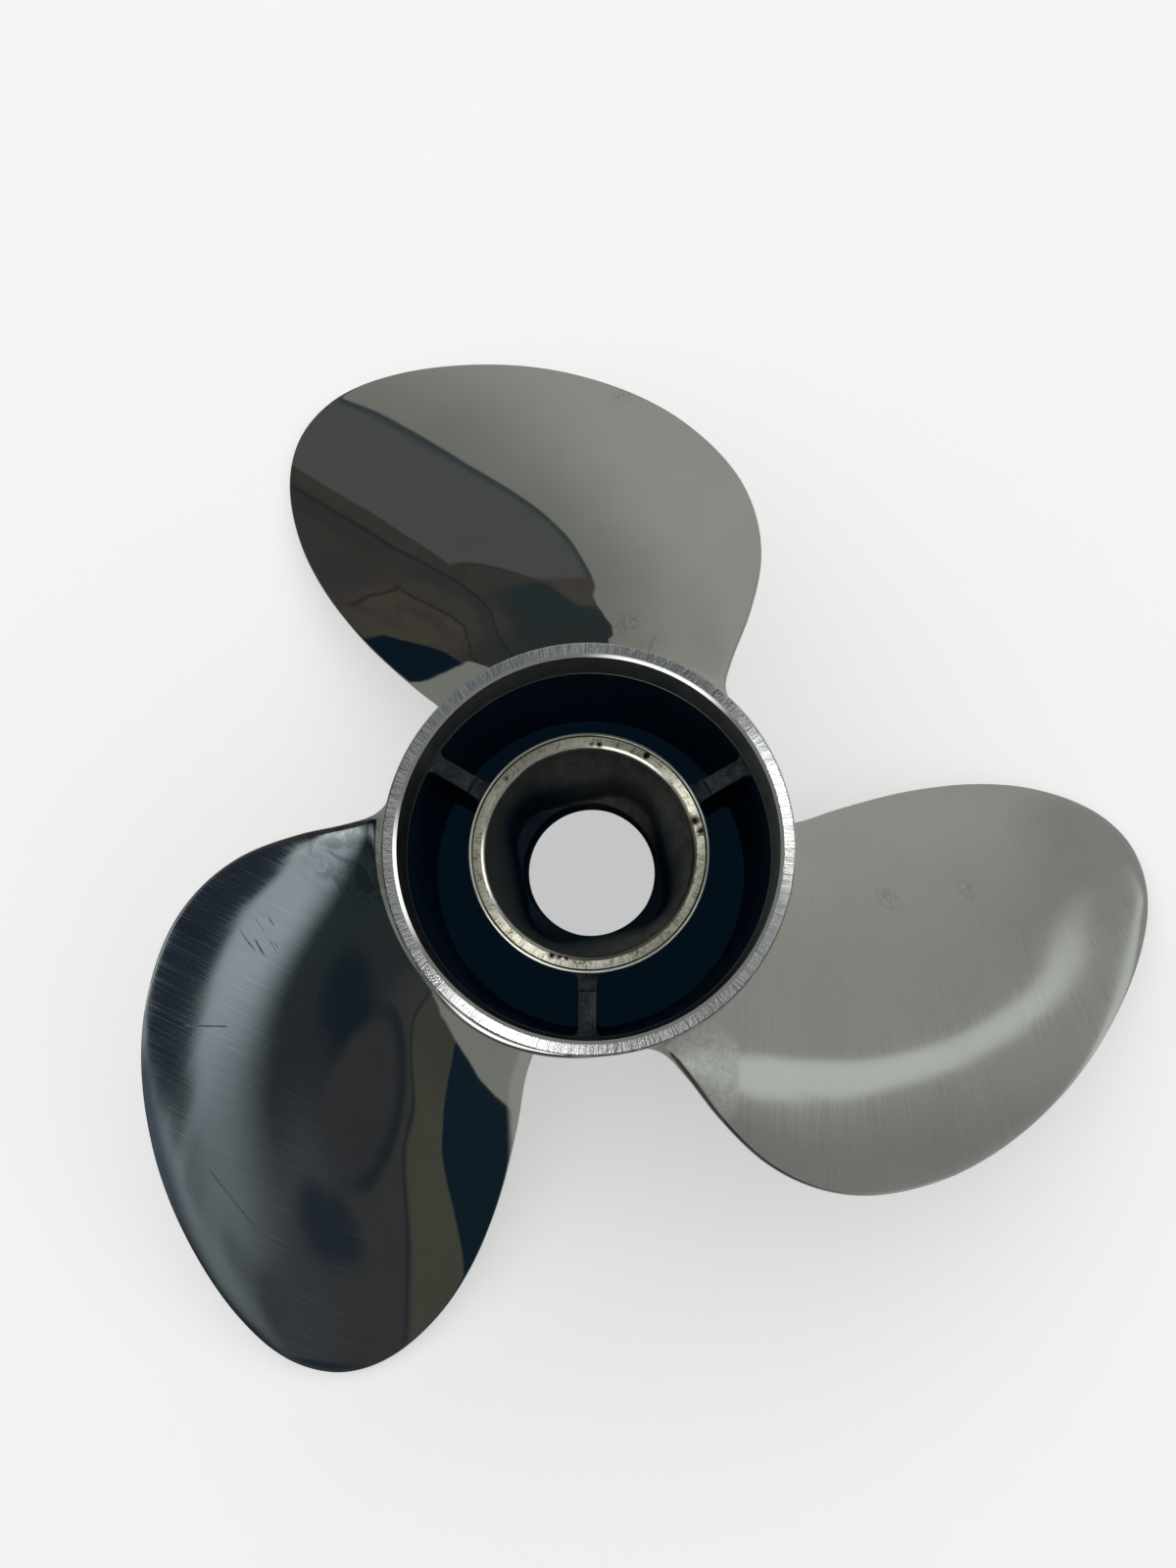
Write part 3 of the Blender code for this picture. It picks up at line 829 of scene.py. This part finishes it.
def blade_one_steel():
    """Belt strokes across the blade, and a patch near the root where a felt bob went round."""
    material, place = new_steel("belt_polished_steel")
    x, y = place.parts()[:2]
    cloudy = place.noise(0.03, 3.0)
    lean = (x - 60.0).highest(0.0) * 0.0045
    lines = strokes(x + lean * (y + 60.0), y)
    swirl = place.vector("MULTIPLY", (0.35, 0.35, 0.2)).noise(0.7, 4.0, 0.6, 1.5)
    root = place.spot((30.0, -62.0, 56.0), 12.0, 8.0) * x.fall(41.3, 42.0)
    marks = smudged(place, (92.0, -9.0, -9.0, 5.0), (119.0, -5.0, -26.0, 4.0), (86.0, -52.0, 10.0, 3.5))
    colour = cloudy.rise(0.3, 0.7).blend((0.575, 0.58, 0.565), (0.62, 0.62, 0.605))
    colour = (lines.rise(0.44, 0.64) * (1 - root) * 0.4).blend(colour, (0.665, 0.67, 0.655))
    colour = (root * swirl.rise(0.35, 0.65) * 0.65).blend(colour, (0.78, 0.79, 0.77))
    colour = (marks * 0.5).blend(colour, (0.36, 0.37, 0.36))
    roughness = 0.05 + 0.05 * lines.rise(0.3, 0.7) + 0.12 * root + 0.12 * marks
    relief = lines * (1 - root) + 1.2 * swirl * root
    return finish(material, colour, roughness, relief, 0.0014)


def blade_two_steel():
    """The clear mirror, with a few finger marks near the hub."""
    material, place = new_steel("mirror_polished_steel")
    cloudy = place.noise(0.03, 3.0)
    marks = smudged(place, (10.5, 67.0, 38.0, 5.0), (17.0, 59.0, 48.0, 5.0), (9.0, 148.0, -11.0, 4.0))
    colour = cloudy.rise(0.3, 0.7).blend((0.585, 0.59, 0.575), (0.62, 0.62, 0.605))
    colour = (marks * 0.6).blend(colour, (0.34, 0.35, 0.34))
    return finish(material, colour, 0.025 + 0.01 * cloudy + 0.15 * marks)


def blade_three_steel():
    """A mirror near the hub; further out the strokes of the belt run down to the right."""
    material, place = new_steel("half_polished_steel")
    x, y = place.parts()[:2]
    cloudy = place.noise(0.03, 3.0)
    lines = strokes(0.906 * y + 0.423 * x, 0.906 * x - 0.423 * y)
    bend = (y + 58.0) / 60.0
    belt = (x + 75.0 - 9.0 * bend * bend).fall(-4.0, 4.0)
    colour = cloudy.rise(0.3, 0.7).blend((0.585, 0.59, 0.575), (0.62, 0.62, 0.605))
    colour = (lines.rise(0.5, 0.68) * belt * 0.8).blend(colour, (0.76, 0.77, 0.75))
    # A short dash, a long scratch and a cluster of nicks.
    dash = (y + 49.5).line(0.4) * x.within(-120.0, -107.0, 0.7)
    scratch = (0.82 * (x + 110.0) + 0.57 * (y + 104.0)).line(0.4) * x.within(-116.0, -104.0, 1.0)
    nicks = ((x + 0.6 * y) * 0.8).joined(y * 0.1, 0.0).noise(1.0, 2.0).rise(0.6, 0.66)
    nicks = place.spot((-93.0, -23.0, 28.0), 4.0, 5.0) * nicks
    marks = dash.highest(scratch).highest(nicks)
    colour = (marks * 0.7).blend(colour, (0.12, 0.125, 0.13))
    # A dull film in blotches at the root, and a painted dark reflection along the outer edge.
    dulled = place.noise(0.16, 4.0, 0.65, 1.0).rise(0.42, 0.58)
    dulled = place.spot((-64.0, -2.0, 56.0), 8.0, 16.0) * dulled
    colour = (dulled * 0.6).blend(colour, (0.20, 0.22, 0.23))
    edge = (x + 136.3 - (y + 60.0) * (y + 60.0) / 380.0).fall(1.5, 7.5) * y.fall(-66.0, -44.0)
    colour = (edge * 0.85).blend(colour, (0.05, 0.065, 0.09))
    roughness = 0.03 + 0.05 * belt * lines.rise(0.3, 0.7) + 0.25 * marks
    return finish(material, colour, roughness, lines * belt, 0.0007)


wrap = helicoid_tree()
finishes = (blade_one_steel(), blade_two_steel(), blade_three_steel())
sizes = {"Pitch": PITCH * MM, "Rake": RAKE, "Rake ease": RAKE_EASE / MM, "Rake start": RAKE_START_R * MM}
sizes["Middle height"] = (FRONT - MID_DEPTH) * MM
for number, (line, coat) in enumerate(zip(BLADE_LINES, finishes), 1):
    pattern = blade_pattern(f"ground_blade_{number}")
    blade = grown(pattern, wrap, {**sizes, "Blade line": math.radians(line), "Finish": coat})
    shaded(blade)
    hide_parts(f"blade_{number}")
    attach(blade, "root")

# Stage: a pale sheet under the propeller, the room that the steel mirrors, and the camera. The
# room is painted by compass direction, in degrees: light on the right and behind, brown cloth and
# charcoal on the left, dark navy at the front, and the haze of a window between them.

FLOOR_Z = (FRONT - BARREL_LENGTH) * MM
FLOOR_R = 4.0
FLOOR_TONE = 0.90
FLOOR_GLOW = 0.36
LAYER = 0.0001
DISC_STEPS = 192
PALE = 0.913
SOFT_LIGHT = 0.62
SHADOW_DISC_R = 0.057
HOLE_R = 0.0213
HOLE_MIDDLE = (0.0004, 0.0012)
SHADOW_DISC_TONE = (0.001, 0.004, 0.007)
SHADOW_DISC_GLOW = (0.0012, 0.0048, 0.0092)
HOLE_GLOW = 0.558

# The lamp and the soft pools of light, each by its direction from the propeller.
LAMP_PLACE = (0.1669, -0.1351, 0.9767)
LAMP_SIZE = 0.07
POOL_SIZE = 0.055
POOL_PLACES = (
    (-0.085, 0.005, 0.996),
    (-0.01, -0.04, 0.999),
    (-0.03, 0.015, 0.999),
    (0.045, 0.1, 0.994),
    (-0.07, 0.06, 0.995),
)


def stage_disc(name, radius, place, tone, glow):
    """A matt disc of the stage that glows a little."""
    material = bpy.data.materials.new(name)
    material.use_nodes = True
    shader = material.node_tree.nodes["Principled BSDF"]
    shader.inputs["Base Color"].default_value = (*tone, 1.0)
    shader.inputs["Roughness"].default_value = 1.0
    shader.inputs["Specular IOR Level"].default_value = 0.0
    shader.inputs["Emission Color"].default_value = (*glow, 1.0)
    shader.inputs["Emission Strength"].default_value = 1.0
    bpy.ops.mesh.primitive_circle_add(vertices=DISC_STEPS, radius=radius, fill_type="NGON", location=place)
    disc = bpy.context.active_object
    disc.name = name
    disc.data.materials.append(material)
    return disc


paper = stage_disc("pale_floor", FLOOR_R, (0.0, 0.0, FLOOR_Z), (FLOOR_TONE,) * 3, (FLOOR_GLOW,) * 3)
paper.visible_glossy = False
# Painted shadow: a dark disc under the hub, glowing faintly navy, which the camera sees through the
# passages.
stage_disc("painted_shadow_disc", SHADOW_DISC_R, (0.0, 0.0, FLOOR_Z + LAYER), SHADOW_DISC_TONE, SHADOW_DISC_GLOW)
# Painted light: a glowing disc, seen by the camera alone, makes the floor inside the shaft hole pale.
hole = stage_disc("painted_light_in_bore", HOLE_R, (*HOLE_MIDDLE, FLOOR_Z + 2 * LAYER), (0.0,) * 3, (HOLE_GLOW,) * 3)
hole.visible_glossy = False
hole.visible_diffuse = False


def light_side(around, right, height):
    """Grey-green daylight on the right and behind, with a soft bright bar in it."""
    light = right.rise(25.0, 60.0).blend((0.345, 0.35, 0.325), (0.40, 0.408, 0.372))
    light = (height.rise(10.5, 15.5) * right.fall(-10.0, 14.0)).blend(light, (0.25, 0.252, 0.242))
    light = (height.rise(11.0, 17.0) * right.within(8.0, 56.0, 8.0)).blend(light, (0.31, 0.312, 0.302))
    light = (height.fall(2.0, 9.0) * around.within(88.0, 125.0, 10.0)).blend(light, (0.340, 0.347, 0.315))
    behind = (around - 0.6 * height.highest(0.0)).rise(106.0, 130.0) * around.fall(170.0, 200.0)
    light = behind.blend(light, (0.24, 0.245, 0.22))
    centre = 8.0 + 9.8 * right.rise(-6.0, 26.0)
    wide = 3.0 - 2.1 * right.rise(-4.0, 26.0)
    over = (height - centre) / wide
    bar = over.rise(-1.3, -0.6) * over.fall(0.75, 1.15) * right.fall(24.0, 36.0) * right.rise(-40.0, -30.0)
    return bar.blend(light, (0.655, 0.69, 0.66))


def brown_side(around, height, edge, mottle):
    """Brown cloth in folds under charcoal, with a green-black fold at its foot."""
    brown = around.rise(139.0, 141.0).blend((0.080, 0.072, 0.064), (0.058, 0.055, 0.050))
    fold_a = around - 156.0 - 3.6 * height.rise(-1.0, 13.0) - 4.0 * height.fall(-9.0, -1.0)
    fold_b = around - 164.6 - 2.0 * height.rise(-2.0, 7.0) - 6.0 * height.fall(-10.5, -3.0)
    grey = fold_a.rise(-0.2, 0.3) * fold_a.fall(2.4, 4.4)
    brown = grey.blend(brown, (0.046, 0.046, 0.049))
    tan = fold_b.rise(-0.3, 0.3) * (height - 0.25 * (around - 168.0)).fall(8.2, 10.0)
    brown = tan.blend(brown, (0.073, 0.064, 0.053))
    brown = (height.rise(8.0, 11.0) * fold_b.rise(-3.0, 0.0)).blend(brown, (0.049, 0.049, 0.050))
    green = (height + 4.0 - 4.0 * around.rise(135.0, 143.0)).fall(-0.5, 0.5) * around.fall(151.0, 158.0)
    brown = green.blend(brown, (0.029, 0.040, 0.042))
    brown = (height.fall(-10.0, -6.0) * 0.7).blend(brown, (0.029, 0.036, 0.038))
    arm = (height - 7.6 - 0.9 * around.rise(167.0, 172.0)).line(0.45) * around.within(166.0, 175.0, 0.8)
    creases = fold_a.line(0.6).highest(fold_b.line(0.6) * height.fall(7.0, 7.8)).highest(arm)
    brown = (creases * 0.8).blend(brown, (0.020, 0.021, 0.024))
    brown = (mottle * 0.35).blend(brown, (0.040, 0.038, 0.036))
    charcoal = edge.rise(0.3, 1.9).blend((0.048, 0.064, 0.070), (0.096, 0.102, 0.100))
    top = height - 6.2 * around.rise(140.0, 156.0) - 22.0 * around.rise(155.0, 158.0)
    left = top.rise(-0.4, 0.5).blend(brown, charcoal)
    hem = (top + 0.2).line(0.45) * around.rise(141.0, 146.0) * around.fall(153.0, 155.0)
    return (hem * 0.8).blend(left, (0.035, 0.034, 0.036))


def oval(around, height, centre, size):
    """How far a direction is from the centre of an oval of the room, 1 on its outline."""
    place = around.joined(height, 0.0).vector("SUBTRACT", (*centre, 0.0))
    return place.vector("DIVIDE", (*size, 1.0)).vector("LENGTH", out=1)


def front_side(around, height, upper):
    """Navy dark at the front, with dim rolling shapes, an olive strip and black at its end."""
    front = around.rise(236.0, 256.0).blend((0.026, 0.036, 0.040), (0.030, 0.034, 0.040))
    front = (height.rise(11.0, 18.0) * around.rise(250.0, 262.0)).blend(front, (0.052, 0.058, 0.068))
    shade = oval(around, height, (254.0, 5.0), (15.0, 5.5))
    front = shade.fall(0.4, 1.1).blend(front, (0.013, 0.021, 0.029))
    ring = oval(around, height, (268.0, 8.0), (10.5, 9.0))
    front = ring.fall(0.70, 0.98).blend(front, (0.040, 0.042, 0.045))
    sweep = (around - 0.4 * height).rise(258.0, 270.0)
    front = (ring.rise(1.05, 1.2) * sweep).blend(front, (0.047, 0.049, 0.050))
    front = ((ring - 1.0).line(0.17) * sweep).blend(front, (0.022, 0.028, 0.036))
    swirl = oval(around, height, (270.0, 19.5), (7.0, 2.0))
    front = swirl.fall(0.6, 1.3).blend(front, (0.022, 0.030, 0.042))
    strip = around - 272.5 - 10.0 * height.rise(-6.0, 5.0) - 3.5 * height.rise(8.0, 18.0)
    olive = height.rise(-6.0, 4.0).blend((0.058, 0.062, 0.049), (0.073, 0.076, 0.060))
    front = strip.rise(-0.5, 0.7).blend(front, olive)
    front = ((strip + 0.8).line(0.7) * 0.8).blend(front, (0.022, 0.027, 0.030))
    black = around - 289.7 - 1.2 * height.rise(-6.0, 6.0) - 7.0 * height.rise(4.0, 18.0)
    black = black + 1.5 * height.fall(-12.0, -6.0)
    front = black.rise(-0.3, 0.3).blend(front, (0.008, 0.019, 0.030))
    outer = (height - upper).rise(-0.2, 1.0) * around.fall(254.0, 266.0)
    return outer.blend(front, (0.018, 0.026, 0.041))


def dark_side(around, height, edge, mottle):
    """The whole dark side: cloth, the window's haze, the front, and the ground under them."""
    upper = 14.5 + 8.7 * around.rise(212.0, 261.0)
    lower = 5.6 + 3.2 * around.rise(208.0, 222.0) + 13.0 * around.rise(222.0, 262.0)
    cloth = brown_side(around, height, edge, mottle.rise(0.45, 0.65))
    room = around.rise(196.0, 208.0).blend(cloth, front_side(around, height, upper))
    haze = (height - lower).rise(-4.0, 2.6) * (height - upper).fall(-0.7, 0.4) * around.fall(252.0, 266.0)
    glow = around.rise(205.0, 214.0).blend((0.86, 0.94, 0.94), (0.37, 0.435, 0.485))
    glow = around.rise(229.0, 247.0).blend(glow, (0.165, 0.200, 0.220))
    room = (haze * around.rise(194.0, 210.0)).blend(room, glow)
    patch = around.within(198.0, 209.0, 3.0) * height.within(-7.0, 2.0, 2.0)
    room = patch.blend(room, (0.26, 0.30, 0.31))
    corner = (around - 174.5 - 4.5 * height.rise(-7.0, 4.0)).rise(-0.3, 0.3) * height.fall(2.6, 3.4)
    room = (corner * around.fall(198.0, 206.0)).blend(room, (0.005, 0.014, 0.025))
    ground = -14.5 + 4.0 * around.rise(168.0, 173.0) + 1.3 * around.rise(294.0, 302.0)
    ground = ground - 2.0 * around.rise(308.0, 318.0)
    return (height - ground).rise(-0.4, 0.4).blend((0.25, 0.258, 0.235), room)


def overhead(way, around, right, height):
    """A dim ceiling with two windows, a lamp in front of the camera and soft pools by the zenith."""
    ceiling = height.rise(60.0, 74.0).blend((0.25, 0.255, 0.25), (0.13, 0.14, 0.145))
    window = around.within(225.0, 265.0, 8.0).highest(right.within(0.0, 30.0, 8.0))
    ceiling = (window * height.within(29.0, 52.0, 3.0)).blend(ceiling, (1.8, 1.82, 1.77))
    pools = 0.0
    for place in POOL_PLACES:
        pools = pools + way.spot(place, 0.0, POOL_SIZE)
    ceiling = pools.lowest(1.0).blend(ceiling, (2.5, 2.5, 2.45))
    return way.spot(LAMP_PLACE, LAMP_SIZE, 0.03).blend(ceiling, (15.0, 15.0, 14.7))


def paint_world():
    """The room as the steel sees it; the camera sees a pale backdrop and the floor soft light."""
    world = bpy.data.worlds.new("soft_room")
    bpy.context.scene.world = world
    world.use_nodes = True
    world.cycles.sampling_method = "NONE"
    tree = world.node_tree
    start = Wire(tree, None)

    def lit(colour, strength=1.0):
        return start.node("ShaderNodeBackground", {}, {"Color": colour, "Strength": strength})

    def parted(mask, one, other):
        return start.node("ShaderNodeMixShader", {}, {0: mask, 1: one, 2: other})

    way = start.node("ShaderNodeTexCoord", {}, {}, 0)
    x, y, z = way.parts()
    waver = way.noise(11.0, 2.0, 0.6)
    mottle = way.noise(7.0, 2.0, 0.5, 1.5)
    degree = 180 / math.pi
    around = start.maths("ARCTAN2", -1 * y, -1 * x) * degree + 180 + (waver - 0.5) * 1.6
    right = start.maths("ARCTAN2", y, x) * degree + (waver - 0.5) * 1.6
    height = start.maths("ARCSINE", z) * degree + (waver - 0.5) * 1.2

    # The dark side runs from the brown cloth round the front to the black end.
    edge = around - 130.0 - 11.5 * height.rise(1.0, 20.0) - 1.2 * height.within(-4.0, -1.5, 1.0)
    edge = edge + 1.4 * height.within(-8.5, -5.5, 0.7)
    dark = edge.rise(-0.25, 0.25) * around.fall(312.0, 316.0)

    # Each part is a background of its own, because a ray then works out only the part it meets.
    light = lit(light_side(around, right, height))
    walls = parted(dark, light, lit(dark_side(around, height, edge, mottle)))
    mirrored = parted(height.rise(27.0, 33.0), walls, lit(overhead(way, around, right, height)))
    soft = start.node("ShaderNodeLightPath", {}, {}, "Is Diffuse Ray")
    unseen = parted(soft, mirrored, lit((1.0, 1.0, 1.0, 1.0), SOFT_LIGHT * (1 + 0.9 * y)))
    seen = start.node("ShaderNodeLightPath", {}, {}, "Is Camera Ray")
    whole = parted(seen, unseen, lit((PALE, PALE, PALE, 1.0)))
    tree.links.new(whole.socket, tree.nodes["World Output"].inputs["Surface"])


paint_world()

# The camera looks down on the front rim. Its lens, and the point of the frame that it aims at, are
# given in pixels of that frame.
CAMERA_PLACE = (0.00324, -0.03412, 0.54855)
CAMERA_TURN = (5.975, 0.1117, 0.5879)
FRAME_WIDTH, FRAME_HEIGHT = 1200, 1600
FOCAL_PIXELS = 1850.0
MIDDLE_X, MIDDLE_Y = 608.17, 804.37
SENSOR = 36.0
camera_data = bpy.data.cameras.new("camera")
camera = bpy.data.objects.new("camera", camera_data)
bpy.context.collection.objects.link(camera)
camera.location = CAMERA_PLACE
camera.rotation_euler = [math.radians(turn) for turn in CAMERA_TURN]
camera_data.sensor_fit = "VERTICAL"
camera_data.sensor_height = SENSOR
camera_data.lens = SENSOR * FOCAL_PIXELS / FRAME_HEIGHT
camera_data.shift_x = (FRAME_WIDTH / 2 - MIDDLE_X) / FRAME_HEIGHT
camera_data.shift_y = (MIDDLE_Y - FRAME_HEIGHT / 2) / FRAME_HEIGHT
camera_data.clip_start = 0.01
bpy.context.scene.camera = camera
bpy.context.scene.view_settings.view_transform = "Standard"
